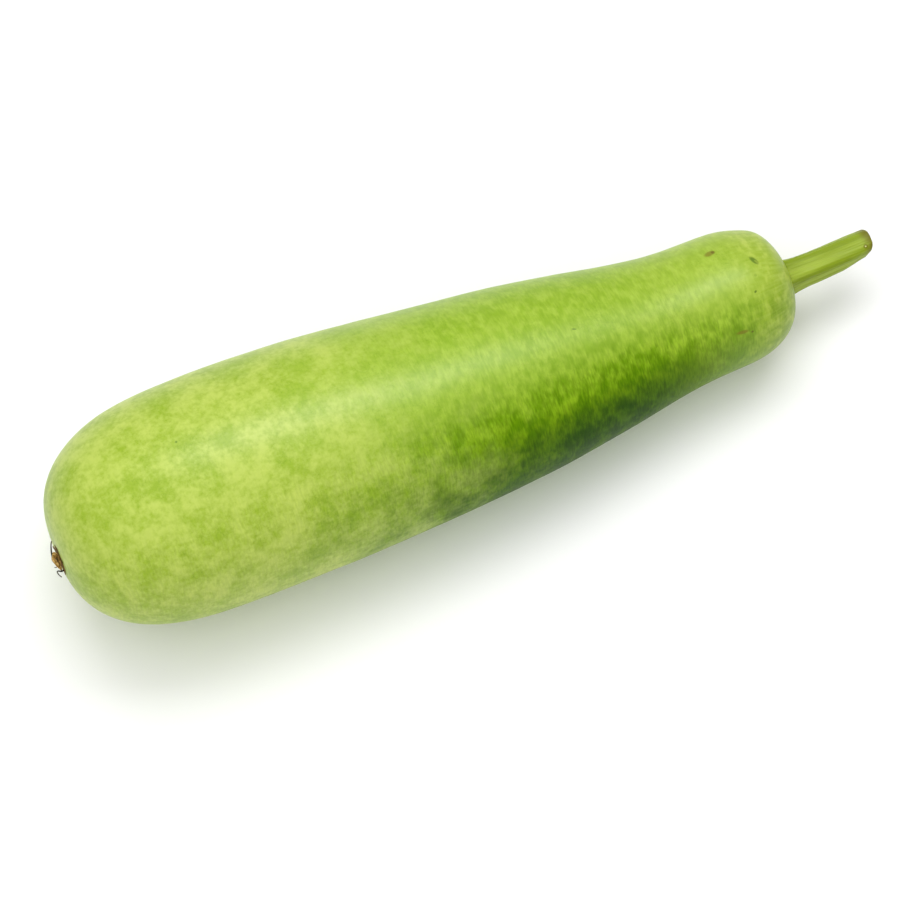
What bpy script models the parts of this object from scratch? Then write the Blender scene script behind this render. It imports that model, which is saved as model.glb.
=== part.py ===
"""A whole bottle gourd, picked and lying on its side: the smooth club-shaped fruit, its short ribbed stem
with a cut end, and the withered flower that clings to the blossom end.

Metres, +Z up. The fruit points along +X, from the blossom end to the stem, and rests on z = 0 on the
long flat spot that the ground left on its belly, under its weight, with the neck just clear of the
ground. Every piece is modelled upright in the gourd's own frame, with the blossom end at z = 0 and the
stem on top, and lies down with its parent.
"""

import math
import random

import bmesh
import bpy
from mathutils import Vector

# Fruit: its length, its rounded ends and its radius at stations along the axis.
FRUIT_LENGTH = 0.300
BLOSSOM_CAP_LENGTH = 0.066
BLOSSOM_CAP_POWER = 2.65
SHOULDER_LENGTH = 0.030
SHOULDER_POWER = 2.6
FRUIT_STATIONS = (
    (0.066, 0.0440),
    (0.110, 0.0431),
    (0.150, 0.0403),
    (0.189, 0.0366),
    (0.217, 0.0323),
    (0.236, 0.0291),
    (0.252, 0.0270),
    (0.270, 0.0264),
)
FRUIT_STEPS = 56
CAP_RINGS = 13
BODY_RINGS = 24
SHOULDER_RINGS = 12

# The fruit isn't quite round or straight.
BOW_RISE_DEG = 20.0
BOW_WAY = Vector((-math.sin(math.radians(BOW_RISE_DEG)), math.cos(math.radians(BOW_RISE_DEG)), 0))
BLOSSOM_BOW = 0.0030
BLOSSOM_BOW_SPAN = (0.060, 0.200)
NECK_BOW = 0.0007
NECK_BOW_PLACE = 0.236
NECK_BOW_WIDTH = 0.030
OVAL_SHARE = 0.008
THREE_SIDED_SHARE = 0.005
BLOSSOM_DIMPLE_RADIUS = 0.0075
BLOSSOM_DIMPLE_DEPTH = 0.0012
STEM_HOLLOW_RADIUS = 0.0120
STEM_HOLLOW_DEPTH = 0.0012

# How far the ground wore the belly's flat spot in.
GROUND_SPOT_DEPTH = 0.0006

# Stem: its length beyond the fruit, its radius at heights over the fruit's end, and its ribs.
STEM_LENGTH = 0.0365
STEM_ROOT = 0.0040
STEM_STATIONS = (
    (0.000, 0.0074),
    (0.004, 0.0066),
    (0.012, 0.0061),
    (0.025, 0.0058),
    (0.0365, 0.0056),
)
STEM_RINGS = 14
STEM_STEPS = 40
STEM_RIBS = 5
STEM_RIB_SHARE = 0.07
STEM_TWIST_DEG = 14.0
STEM_CURVE = 0.0012
CUT_ROUNDING = 0.0006
CUT_CORNER = 0.0030
PITH_RADIUS = 0.0014
PITH_DEPTH = 0.0010

# Withered flower: a dry scar, a crumpled core, papery lobes lying on the skin and curled threads.
SCAR_RADIUS = 0.0042
SCAR_THICKNESS = 0.0010
CORE_SIZE = (0.0026, 0.0033, 0.0015)
LOBES = 5
LOBE_LENGTH = 0.0056
LOBE_WIDTH = 0.0030
LOBE_THICKNESS = 0.0006
LOBE_CURL = 0.0009
THREADS = 3
THREAD_LENGTH = 0.0062
THREAD_RADIUS = 0.00035
FLOWER_SEED = 4

# The gap kept between pieces that touch.
CLEARANCE = 0.0003

SKIN_GREEN = (0.43, 0.62, 0.10)
STEM_GREEN = (0.38, 0.52, 0.13)
DRY_BROWN = (0.20, 0.11, 0.04)


def clear_scene():
    for thing in list(bpy.data.objects):
        bpy.data.objects.remove(thing)


def collection(name, helper=False):
    made = bpy.data.collections.new(name)
    made.hide_render = helper
    bpy.context.scene.collection.children.link(made)
    return made


def material(name, colour, roughness):
    made = bpy.data.materials.new(name)
    made.use_nodes = True
    shader = made.node_tree.nodes["Principled BSDF"]
    shader.inputs["Base Color"].default_value = (*colour, 1)
    shader.inputs["Roughness"].default_value = roughness
    shader.inputs["Metallic"].default_value = 0
    return made


def smoothstep(start, end, value):
    share = min(1, max(0, (value - start) / (end - start)))
    return share * share * (3 - 2 * share)


def superellipse(share, power):
    """Height of a rounded end, as a share of its radius, at this share of the way out from its root."""
    return (1 - min(1, max(0, share)) ** power) ** (1 / power)


def between_stations(stations, place):
    """Smooth radius through the stations, level at the first and at the last."""
    if place <= stations[0][0]:
        return stations[0][1]
    for i in range(len(stations) - 1):
        (near, low), (far, high) = stations[i], stations[i + 1]
        if place > far:
            continue
        before = stations[max(0, i - 1)]
        after = stations[min(len(stations) - 1, i + 2)]
        slope_in = 0 if i == 0 else (high - before[1]) / (far - before[0])
        slope_out = 0 if i == len(stations) - 2 else (after[1] - low) / (after[0] - near)
        span = far - near
        u = (place - near) / span
        return (
            (2 * u**3 - 3 * u**2 + 1) * low
            + (u**3 - 2 * u**2 + u) * span * slope_in
            + (3 * u**2 - 2 * u**3) * high
            + (u**3 - u**2) * span * slope_out
        )
    return stations[-1][1]


def fruit_radius(place):
    cap = superellipse(1 - place / BLOSSOM_CAP_LENGTH, BLOSSOM_CAP_POWER)
    shoulder = superellipse(1 - (FRUIT_LENGTH - place) / SHOULDER_LENGTH, SHOULDER_POWER)
    return between_stations(FRUIT_STATIONS, place) * cap * shoulder


def fruit_profile():
    """(radius, height) down the outer side, from the stem end to the blossom end. Rings crowd towards both poles."""
    shoulder_start = FRUIT_LENGTH - SHOULDER_LENGTH
    heights = []
    for i in range(SHOULDER_RINGS):
        turn = i / SHOULDER_RINGS * math.pi / 2
        heights.append(shoulder_start + SHOULDER_LENGTH * math.cos(turn) ** (2 / SHOULDER_POWER))
    for i in range(BODY_RINGS):
        heights.append(shoulder_start + (BLOSSOM_CAP_LENGTH - shoulder_start) * i / BODY_RINGS)
    for i in range(CAP_RINGS + 1):
        turn = (1 - i / CAP_RINGS) * math.pi / 2
        heights.append(BLOSSOM_CAP_LENGTH * (1 - math.cos(turn) ** (2 / BLOSSOM_CAP_POWER)))
    return [(fruit_radius(height), height) for height in heights]


def turned(name, profile, steps, into):
    """A closed solid turned round the Z axis from (radius, height) points, listed down its outer side."""
    mesh = bpy.data.meshes.new(name + "_profile")
    mesh.from_pydata([(radius, 0, height) for radius, height in profile],
                     [(i, i + 1) for i in range(len(profile) - 1)], [])
    outline = bpy.data.objects.new(name + "_profile", mesh)
    into.objects.link(outline)
    screw = outline.modifiers.new("turn", "SCREW")
    screw.axis = "Z"
    screw.steps = steps
    screw.render_steps = steps
    screw.use_merge_vertices = True
    screw.merge_threshold = 0.00005
    made = bpy.data.objects.new(name, evaluated_mesh(outline))
    made.data.name = name
    into.objects.link(made)
    bpy.data.objects.remove(outline)
    return made


def evaluated_mesh(thing):
    bpy.context.view_layer.update()
    graph = bpy.context.evaluated_depsgraph_get()
    return bpy.data.meshes.new_from_object(thing.evaluated_get(graph))


def reshape(thing, rule):
    for vertex in thing.data.vertices:
        vertex.co = rule(vertex.co)


def shade(thing, finish):
    thing.data.materials.clear()
    thing.data.materials.append(finish)
    thing.data.shade_smooth()
    thing.data.set_sharp_from_angle(angle=math.radians(40))


def bow(place):
    """How far the fruit's centre line stands off its straight axis, away from the ground side."""
    fade_start, fade_end = BLOSSOM_BOW_SPAN
    blossom = BLOSSOM_BOW * (1 - smoothstep(fade_start, fade_end, place))
    neck = NECK_BOW * math.exp(-(((place - NECK_BOW_PLACE) / NECK_BOW_WIDTH) ** 2))
    return BOW_WAY * (blossom - neck)


def grown(point):
    """Turns the round fruit into the grown one: a little oval, bowed, dimpled at the flower, hollowed at the stem."""
    angle = math.atan2(point.y, point.x)
    along = point.z / FRUIT_LENGTH
    swell = (
        1
        + OVAL_SHARE * math.cos(2 * angle + 1.1 + 2.0 * along)
        + THREE_SIDED_SHARE * math.cos(3 * angle - 0.6 + 3.0 * along)
    )
    moved = Vector((point.x * swell, point.y * swell, point.z)) + bow(point.z)
    off_axis = math.hypot(moved.x, moved.y)
    if along < 0.5:
        moved.z += BLOSSOM_DIMPLE_DEPTH * (1 - smoothstep(0, BLOSSOM_DIMPLE_RADIUS, off_axis))
    else:
        moved.z -= STEM_HOLLOW_DEPTH * (1 - smoothstep(0, STEM_HOLLOW_RADIUS, off_axis))
    return moved


def balanced_tilt(points, weight_centre):
    """(tilt, height of the axis origin) at which the fruit lies at rest: where its weight hangs lowest."""

    def reach(tilt):
        return max(math.cos(tilt) * p.x + math.sin(tilt) * p.z for p in points)

    def weight_height(tilt):
        return reach(tilt) - math.cos(tilt) * weight_centre.x - math.sin(tilt) * weight_centre.z

    low, high = 0.0, math.radians(15)
    for _ in range(30):
        first, second = low + (high - low) / 3, high - (high - low) / 3
        if weight_height(first) < weight_height(second):
            high = second
        else:
            low = first
    return low, reach(low) - GROUND_SPOT_DEPTH


def centre_of_weight(mesh):
    """Centre of the closed mesh's volume."""
    mesh.calc_loop_triangles()
    volume, moment = 0.0, Vector()
    for triangle in mesh.loop_triangles:
        a, b, c = (mesh.vertices[i].co for i in triangle.vertices)
        share = a.dot(b.cross(c)) / 6
        volume += share
        moment += share * (a + b + c) / 4
    return moment / volume


def build_fruit(into, helpers, finish):
    """The fruit, the box below the ground that cuts its flat spot, and its outline grown by the clearance."""
    fruit = turned("fruit", fruit_profile(), FRUIT_STEPS, into)
    reshape(fruit, grown)
    shade(fruit, finish)

    bpy.ops.mesh.primitive_cube_add(size=1, location=(0, 0, -0.05))
    ground = bpy.context.object
    ground.name = "ground_cutter"
    ground.data.transform(ground.matrix_world)
    ground.matrix_world.identity()
    for vertex in ground.data.vertices:
        vertex.co.z = 0 if vertex.co.z > 0 else -0.1
    move_to(ground, helpers)
    cut = fruit.modifiers.new("ground_spot", "BOOLEAN")
    cut.operation = "DIFFERENCE"
    cut.object = ground

    envelope = bpy.data.objects.new("fruit_envelope", fruit.data.copy())
    for vertex, normal in zip(envelope.data.vertices, [v.normal.copy() for v in fruit.data.vertices]):
        vertex.co += normal * CLEARANCE
    helpers.objects.link(envelope)
    as_helper(envelope)
    return fruit, envelope


def move_to(thing, into):
    for home in list(thing.users_collection):
        home.objects.unlink(thing)
    into.objects.link(thing)
    as_helper(thing)


def as_helper(thing):
    thing.hide_render = True
    thing.display_type = "WIRE"


def clear_of_fruit(thing, envelope):
    cut = thing.modifiers.new("clear_of_fruit", "BOOLEAN")
    cut.operation = "DIFFERENCE"
    cut.object = envelope


def stem_radius(height):
    """Radius at this height over the fruit's end. Inside the fruit the root keeps the foot's radius."""
    return between_stations(STEM_STATIONS, height)


def stem_profile():
    """(radius, height) down the outer side: the pith's dimple, the cut face, the rounded rim and the side."""
    top = FRUIT_LENGTH + STEM_LENGTH
    rim = stem_radius(STEM_LENGTH)
    points = [(0, top - PITH_DEPTH), (PITH_RADIUS, top - PITH_DEPTH), (1.5 * PITH_RADIUS, top)]
    for turn_deg in (90, 45, 0):
        turn = math.radians(turn_deg)
        points.append((rim - CUT_ROUNDING * (1 - math.cos(turn)),
                       top - CUT_ROUNDING * (1 - math.sin(turn))))
    for i in range(1, STEM_RINGS):
        height = (STEM_LENGTH - CUT_ROUNDING) * (1 - i / STEM_RINGS) ** 1.3
        points.append((stem_radius(height), FRUIT_LENGTH + height))
    foot = stem_radius(0)
    points += [(foot, FRUIT_LENGTH), (foot, FRUIT_LENGTH - STEM_ROOT), (0, FRUIT_LENGTH - STEM_ROOT)]
    return points


def grown_stem(point):
    """Ribs, with a slight twist, a slight curve away from the ground side and a cut that falls off at one corner."""
    height = point.z - FRUIT_LENGTH
    share = min(1, max(0, height / STEM_LENGTH))
    angle = math.atan2(point.y, point.x)
    twist = math.radians(STEM_TWIST_DEG) * share
    outer = min(1, math.hypot(point.x, point.y) / stem_radius(height)) ** 2
    ribbed = 1 + STEM_RIB_SHARE * outer * math.cos(STEM_RIBS * (angle - twist))
    moved = Vector((point.x * ribbed, point.y * ribbed, point.z)) + BOW_WAY * STEM_CURVE * share**2
    below = -point.dot(BOW_WAY) / stem_radius(height)
    fall = CUT_CORNER * max(0, below - 0.2) ** 1.5
    moved.z -= fall * smoothstep(0.75, 1.0, share)
    return moved


def build_stem(into, envelope, finish):
    stem = turned("stem", stem_profile(), STEM_STEPS, into)
    reshape(stem, grown_stem)
    shade(stem, finish)
    clear_of_fruit(stem, envelope)
    return stem


def flower_core(into):
    """The dry scar that the flower left on the fruit, and the crumpled core that still clings to it."""
    rim = SCAR_RADIUS - SCAR_THICKNESS / 2
    scar = turned("dried_flower", [
        (0, 0.0002),
        (rim, 0.0002),
        (SCAR_RADIUS, 0.0002 - SCAR_THICKNESS / 2),
        (rim, 0.0002 - SCAR_THICKNESS),
        (0, 0.0002 - SCAR_THICKNESS),
    ], 20, into)
    bpy.ops.mesh.primitive_uv_sphere_add(segments=16, ring_count=10, radius=1, location=(0, 0, 0))
    core = bpy.context.object
    core.name = "flower_core"
    width, breadth, height = CORE_SIZE
    for vertex in core.data.vertices:
        angle = math.atan2(vertex.co.y, vertex.co.x)
        crease = 1 + 0.18 * math.cos(5 * angle + 4 * vertex.co.z)
        vertex.co = Vector((vertex.co.x * crease * width, vertex.co.y * crease * breadth,
                            vertex.co.z * height - SCAR_THICKNESS))
    return scar, core


def dry_lobe(number, draw):
    """A dry lobe: a pointed strip that lies out over the skin, buckled, with its tip curling off it."""
    bpy.ops.mesh.primitive_grid_add(x_subdivisions=8, y_subdivisions=4, size=1)
    lobe = bpy.context.object
    lobe.name = f"flower_lobe_{number}"
    length = LOBE_LENGTH * draw.uniform(0.8, 1.12)
    curl = LOBE_CURL * draw.uniform(0.2, 1.6)
    phase = draw.uniform(0, math.tau)
    heading = math.tau * (number + draw.uniform(-0.18, 0.18)) / LOBES + math.pi / 2
    for vertex in lobe.data.vertices:
        along = vertex.co.x + 0.5
        side = vertex.co.y * 2
        width = LOBE_WIDTH * (0.55 + 0.9 * along * (1 - along)) * (1 - 0.65 * along**3) / 2
        out = 0.0012 + length * along
        lift = 0.0006 + curl * along**3 + 0.0002 * math.sin(5 * along + phase) + 0.0003 * side * side
        flat = Vector((out, side * width, -lift))
        vertex.co = Vector((flat.x * math.cos(heading) - flat.y * math.sin(heading),
                            flat.x * math.sin(heading) + flat.y * math.cos(heading), flat.z))
    thick = lobe.modifiers.new("thickness", "SOLIDIFY")
    thick.thickness = LOBE_THICKNESS
    thick.offset = 0
    return lobe


def curled_thread(number, draw):
    """A dry thread: it springs off the core, runs out over the skin and hooks back."""
    curve = bpy.data.curves.new(f"flower_thread_{number}", "CURVE")
    curve.dimensions = "3D"
    curve.bevel_depth = THREAD_RADIUS
    curve.bevel_resolution = 0
    curve.use_fill_caps = True
    heading = -math.pi / 2 + math.tau * number / THREADS + draw.uniform(-0.4, 0.4)
    length = THREAD_LENGTH * draw.uniform(0.85, 1.15)
    hook = draw.uniform(1.4, 2.6) * (-1) ** number
    count = 10
    spline = curve.splines.new("POLY")
    spline.points.add(count - 1)
    place = Vector((0.0014 * math.cos(heading), 0.0014 * math.sin(heading), -0.0012))
    for i in range(count):
        share = i / (count - 1)
        spline.points[i].co = (*place, 1)
        turn = heading + hook * share**2
        climb = 0.45 - 0.75 * share
        step = length / (count - 1)
        place += step * Vector((math.cos(turn), math.sin(turn), -climb))
    made = bpy.data.objects.new(f"flower_thread_{number}", curve)
    bpy.context.scene.collection.objects.link(made)
    return as_mesh(made)


def as_mesh(curve_object):
    """The curve's solid with its loose caps welded on. The curve is removed."""
    made = bpy.data.objects.new(curve_object.name + "_solid", evaluated_mesh(curve_object))
    made.matrix_world = curve_object.matrix_world
    bpy.context.scene.collection.objects.link(made)
    bpy.data.objects.remove(curve_object)
    shell = bmesh.new()
    shell.from_mesh(made.data)
    bmesh.ops.remove_doubles(shell, verts=shell.verts, dist=0.00001)
    bmesh.ops.recalc_face_normals(shell, faces=shell.faces)
    shell.to_mesh(made.data)
    shell.free()
    return made


def build_flower(into, helpers, envelope, finish):
    """Scar, core, lobes and threads joined in one body that lies 0.3 mm off the fruit."""
    draw = random.Random(FLOWER_SEED)
    scar, core = flower_core(into)
    pieces = [core]
    pieces += [dry_lobe(i, draw) for i in range(LOBES)]
    pieces += [curled_thread(i, draw) for i in range(THREADS)]
    repeats = collection("flower_pieces", helper=True)
    for piece in pieces:
        move_to(piece, repeats)
    join = scar.modifiers.new("join", "BOOLEAN")
    join.operation = "UNION"
    join.operand_type = "COLLECTION"
    join.collection = repeats
    scar.data = evaluated_mesh(scar)
    scar.modifiers.clear()
    for piece in list(repeats.objects):
        bpy.data.objects.remove(piece)
    bpy.data.collections.remove(repeats)
    shade(scar, finish)
    clear_of_fruit(scar, envelope)
    return scar


def lay_down(things, fruit_points, weight_centre):
    """Parents the upright pieces to one empty, which lays them on the ground and centres them over the origin."""
    tilt, height = balanced_tilt(fruit_points, weight_centre)
    axis = bpy.data.objects.new("gourd_axis", None)
    bpy.context.scene.collection.objects.link(axis)
    axis.rotation_euler = (0, math.pi / 2 + tilt, 0)
    axis.location = (0, 0, height)
    for thing in things:
        thing.parent = axis
    bpy.context.view_layer.update()
    graph = bpy.context.evaluated_depsgraph_get()
    corners = []
    for thing in things:
        if thing.hide_render:
            continue
        shown = thing.evaluated_get(graph)
        corners += [shown.matrix_world @ vertex.co for vertex in shown.data.vertices]
    for i in (0, 1):
        values = [corner[i] for corner in corners]
        axis.location[i] = -(min(values) + max(values)) / 2
    bpy.context.view_layer.update()


def main():
    clear_scene()
    gourd = collection("bottle_gourd")
    helpers = collection("cutters", helper=True)
    fruit, envelope = build_fruit(gourd, helpers, material("gourd_skin", SKIN_GREEN, 0.42))
    points = [vertex.co.copy() for vertex in fruit.data.vertices]
    weight_centre = centre_of_weight(fruit.data)
    stem = build_stem(gourd, envelope, material("gourd_stem", STEM_GREEN, 0.55))
    flower = build_flower(gourd, helpers, envelope, material("dried_flower", DRY_BROWN, 0.9))
    lay_down([fruit, stem, flower, envelope], points, weight_centre)


main()
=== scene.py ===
"""A bottle gourd lying on a pale table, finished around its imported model.

Laid out as a Blender add-on and run as a script: each operator makes one piece or group of pieces, and
the panel lists them. Metres, +Z up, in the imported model's own frame.
"""

import math
import random

import bpy
from bpy.props import FloatProperty, FloatVectorProperty, IntProperty, PointerProperty
from bpy.types import Operator, Panel, PropertyGroup
from mathutils import Matrix, Vector
from mathutils.bvhtree import BVHTree


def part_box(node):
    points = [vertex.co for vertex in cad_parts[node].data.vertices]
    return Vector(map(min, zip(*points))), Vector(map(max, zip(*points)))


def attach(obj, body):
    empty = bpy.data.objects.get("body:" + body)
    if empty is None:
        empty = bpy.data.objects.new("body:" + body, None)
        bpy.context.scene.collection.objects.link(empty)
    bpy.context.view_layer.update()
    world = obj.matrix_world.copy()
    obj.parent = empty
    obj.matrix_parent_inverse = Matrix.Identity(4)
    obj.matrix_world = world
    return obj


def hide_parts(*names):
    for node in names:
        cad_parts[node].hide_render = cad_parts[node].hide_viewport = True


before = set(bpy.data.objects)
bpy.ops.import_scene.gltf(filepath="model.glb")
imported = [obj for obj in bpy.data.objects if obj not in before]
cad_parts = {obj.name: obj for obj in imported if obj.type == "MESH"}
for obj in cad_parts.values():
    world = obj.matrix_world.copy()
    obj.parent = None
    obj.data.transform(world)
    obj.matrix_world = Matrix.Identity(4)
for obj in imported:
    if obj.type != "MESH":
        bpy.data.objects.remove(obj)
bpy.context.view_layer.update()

bl_info = {
    "name": "Bottle Gourd",
    "version": (1, 0, 0),
    "blender": (4, 5, 0),
    "location": "3D View > Sidebar > Gourd",
    "description": "Models and finishes a bottle gourd and sets its stage",
    "category": "Object",
}

MM = 0.001
WELD = 0.000002


# The gourd's own frame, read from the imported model

def gourd_axis():
    """The gourd's own upright frame: z runs from the scar to the stem's foot, and x points down."""
    low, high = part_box("dried_flower")
    scar = (low + high) / 2
    scar.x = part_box("fruit")[0].x
    stem_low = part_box("stem")[0].x
    foot_slice = 2 * MM
    foot = [v.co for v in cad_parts["stem"].data.vertices if v.co.x < stem_low + foot_slice]
    along = (sum(foot, Vector()) / len(foot) - scar).normalized()
    down = Vector((0, 1, 0)).cross(along).normalized()
    across = along.cross(down)
    turn = Matrix((down, across, along)).transposed()
    return Matrix.Translation(scar) @ turn.to_4x4()


AXIS = gourd_axis()
TO_GOURD = AXIS.inverted()
# Two directions square to the axis: where the fruit bows to, and up towards the front.
BOW_TURN = math.radians(20)
BOW_WAY = Vector((-math.sin(BOW_TURN), math.cos(BOW_TURN), 0))
FRONT_WAY = Vector((-math.cos(BOW_TURN), -math.sin(BOW_TURN), 0))


def heights(name):
    """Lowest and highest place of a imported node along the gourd's axis."""
    places = [(TO_GOURD @ v.co).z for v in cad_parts[name].data.vertices]
    return min(places), max(places)


FRUIT_LENGTH = heights("fruit")[1]
STALK_END = heights("stem")[1]
AXIS_DROP = math.atan2(-AXIS.col[2].z, AXIS.col[2].x)


def surface_of(thing):
    mesh = thing.data
    return BVHTree.FromPolygons([v.co for v in mesh.vertices], [p.vertices for p in mesh.polygons])


FRUIT_SURFACE = surface_of(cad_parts["fruit"])


def on_fruit(start, way, surface=FRUIT_SURFACE):
    """Where a line in the gourd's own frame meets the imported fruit, or the finished skin."""
    where = surface.ray_cast(AXIS @ start, AXIS.to_3x3() @ way)[0]
    if where is None:
        raise RuntimeError(f"no skin from {start} towards {way}")
    return TO_GOURD @ where


# Settings

def linear(hex_colour):
    """Linear RGB of an sRGB hex colour."""
    shares = [int(hex_colour[i:i + 2], 16) / 255 for i in (1, 3, 5)]
    return tuple(c / 12.92 if c <= 0.04045 else ((c + 0.055) / 1.055) ** 2.4 for c in shares)


def colour(name, description, hex_colour):
    return FloatVectorProperty(name=name, description=description, subtype="COLOR", size=3, min=0, max=1,
                               default=linear(hex_colour))


def size(name, description, millimetres):
    return FloatProperty(name=name, description=description, default=millimetres * MM, min=0,
                         unit="LENGTH", subtype="DISTANCE", precision=5)


def share(name, description, default):
    return FloatProperty(name=name, description=description, default=default, min=0, max=1, subtype="FACTOR")


class GourdSkinSettings(PropertyGroup):
    """Colours and marks of the fruit's skin."""

    blossom_pale: colour("Blossom half, pale", "Ground colour of the old, pale half", "#B6C85A")
    blossom_deep: colour("Blossom half, deep", "Cloudy blotches on the pale half", "#92AE2C")
    neck_pale: colour("Neck half, pale", "Flecks on the deeper green half", "#A0BC3E")
    neck_deep: colour("Neck half, deep", "Ground colour of the deeper green half", "#88AA22")
    # The three sun-side greens are partly the skin's own deeper green where the neck faced the sun and
    # partly painted shade on the low front side of the neck half.
    sun_and_shade_pale: colour("Sun side, pale", "Flecks low on the neck half", "#7AA104")
    sun_and_shade_deep: colour("Sun side, deep", "Ground colour low on the neck half", "#5B8400")
    sun_and_shade_darkest: colour("Sun side, darkest", "Deepest green, where the neck faced the sun", "#294C00")
    shoulder_pale: colour("Shoulder, pale", "Pale streaks round the stalk", "#C4CF60")
    shoulder_deep: colour("Shoulder, deep", "Green between the streaks round the stalk", "#9CB02A")
    blotch_size: size("Blotch size", "Width of a cloudy blotch", 15)
    speck_size: size("Speck size", "Width of a speck in a blotch", 1.8)
    fleck_size: size("Fleck size", "Width of a pale fleck, along the fruit", 2.6)
    patch_size: size("Patch size", "Width of a dark patch on the sun side, along the fruit", 7)
    fibre_size: size("Fibre size", "Width of the fine streaks that run round the fruit", 0.7)
    dent_size: size("Dent size", "Width of the shallow dents", 42)
    dent_depth: size("Dent depth", "Height from a dent to the swell beside it", 0.7)
    roughness: share("Roughness", "Satin gloss of the waxy skin", 0.39)
    wax: share("Wax", "How much the wax on the skin mirrors", 0.42)


class GourdStalkSettings(PropertyGroup):
    """Sizes and colours of the cut stalk."""

    radius: size("Radius", "Radius of the stalk at the cut", 5.6)
    taper: size("Taper", "How much thicker the stalk is at the fruit", 0.7)
    flare: size("Flare", "How far the foot spreads over the fruit", 1.1)
    flare_reach: size("Flare reach", "How far up the stalk the flare goes", 3.5)
    ribs: IntProperty(name="Ribs", description="Number of main ribs", default=5, min=3)
    rib_share: share("Rib height", "Height of the ribs, as a share of the radius", 0.07)
    fibres: IntProperty(name="Fibres", description="Number of fine ridges between the ribs", default=31,
                        min=0)
    fibre_height: size("Fibre height", "Height of the fine ridges", 0.07)
    ridge: colour("Ridges", "Colour of the ribs and ridges", "#9FB33C")
    groove: colour("Grooves", "Colour between the ribs", "#7F9414")
    cut: colour("Cut", "Dried colour of the cut end", "#6C641A")
    callus: colour("Callus", "Pale rim where the stalk joins the fruit", "#BFC872")


class GourdFlowerSettings(PropertyGroup):
    """Sizes and colours of the withered flower."""

    lobes: IntProperty(name="Lobes", description="Number of dry lobes", default=5, min=1)
    lobe_length: size("Lobe length", "Length of a dry lobe", 5.4)
    lobe_width: size("Lobe width", "Width of a dry lobe", 3.0)
    thread_share: FloatProperty(name="Thread thickness", description="Thickness of the threads, as a share",
                                default=1.0, min=0.2)
    papery: colour("Papery", "Tan of the dry petals", "#D0AC66")
    fold: colour("Fold", "Brown of the folds", "#7A5A22")
    dark: colour("Dark", "Edges and creases", "#33270F")
    darkest: colour("Darkest", "Threads, nearly black", "#0E0B05")


class GourdStageSettings(PropertyGroup):
    """The camera and the light."""

    azimuth: FloatProperty(name="Azimuth", description="Camera's bearing round the gourd",
                           default=math.radians(-23.9), subtype="ANGLE")
    elevation: FloatProperty(name="Elevation", description="Camera's height over the table",
                             default=math.radians(70), subtype="ANGLE")
    distance: size("Distance", "Camera's distance", 1400)
    lens: FloatProperty(name="Lens", description="Focal length on a 36 mm sensor", default=146.3)
    key_power: FloatProperty(name="Key light", description="Power of the soft light behind, in watts",
                             default=9.3)
    strip_power: FloatProperty(name="Strip light", default=14.0,
                               description="Power of the light that the skin mirrors, in watts")
    fill_power: FloatProperty(name="Fill light", description="Power of the large light in front, in watts",
                              default=13.0)
    sky: FloatProperty(name="Surroundings", description="Brightness of the pale room", default=0.37)


# Modelling helpers

def select_only(thing):
    if bpy.context.object and bpy.context.object.mode != "OBJECT":
        bpy.ops.object.mode_set(mode="OBJECT")
    bpy.ops.object.select_all(action="DESELECT")
    thing.select_set(True)
    bpy.context.view_layer.objects.active = thing


def edit(thing):
    select_only(thing)
    bpy.ops.object.mode_set(mode="EDIT")
    bpy.ops.mesh.select_all(action="SELECT")


def leave_edit():
    bpy.ops.object.mode_set(mode="OBJECT")


def added(name):
    """The primitive just added, under its own name."""
    made = bpy.context.object
    made.name = name
    made.data.name = name
    return made


def modifier(thing, kind, **settings):
    made = thing.modifiers.new(kind.lower(), kind)
    for name, value in settings.items():
        setattr(made, name, value)
    return made


def subdivide(thing, levels):
    modifier(thing, "SUBSURF", levels=levels, render_levels=levels)


def apply_modifiers(thing):
    select_only(thing)
    for each in list(thing.modifiers):
        bpy.ops.object.modifier_apply(modifier=each.name)


def dents(thing, name, width, depth):
    """Shallow, irregular dents and swells in the surface."""
    texture = bpy.data.textures.new(name, "CLOUDS")
    texture.noise_scale = width
    texture.noise_depth = 1
    modifier(thing, "DISPLACE", texture=texture, texture_coords="LOCAL", strength=depth, mid_level=0.5)


def reshape(thing, rule):
    """Moves each vertex by a rule of growth that no modifier has."""
    for vertex in thing.data.vertices:
        vertex.co = rule(vertex.co)


def keep_in_box(thing, node):
    """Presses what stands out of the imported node's box back to it."""
    low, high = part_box(node)
    reshape(thing, lambda co: Vector(min(max(c, a), b) for c, a, b in zip(co, low, high)))


def joined(name, pieces):
    """Several objects as one."""
    bpy.ops.object.select_all(action="DESELECT")
    for piece in pieces:
        piece.select_set(True)
    bpy.context.view_layer.objects.active = pieces[0]
    bpy.ops.object.join()
    return added(name)


def lay_on_axis(thing):
    """Takes a piece from the gourd's upright frame to its place, and leaves its object at the origin."""
    thing.matrix_world = AXIS
    select_only(thing)
    bpy.ops.object.transform_apply(location=True, rotation=True, scale=True)


def hand_over(piece, finish, slot, *nodes):
    """Finishes a piece: its material, smooth shading, its body and the nodes it stands for. The slot is not
    used.
    """
    piece.data.materials.clear()
    piece.data.materials.append(finish)
    select_only(piece)
    bpy.ops.object.shade_smooth()
    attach(piece, "root")
    if nodes:
        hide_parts(*nodes)


# Material helpers

def new_material(name):
    made = bpy.data.materials.new(name)
    made.use_nodes = True
    return made, made.node_tree, made.node_tree.nodes["Principled BSDF"]


def node(tree, kind, inputs=None, **settings):
    """Adds a node with these settings, and feeds its inputs."""
    made = tree.nodes.new("ShaderNode" + kind)
    for name, value in settings.items():
        setattr(made, name, value)
    feed(tree, made, inputs or {})
    return made


def feed(tree, made, inputs):
    """Gives each input its value, or links it to another node's socket."""
    for socket, value in inputs.items():
        if isinstance(value, bpy.types.NodeSocket):
            tree.links.new(value, made.inputs[socket])
        else:
            made.inputs[socket].default_value = value


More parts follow.
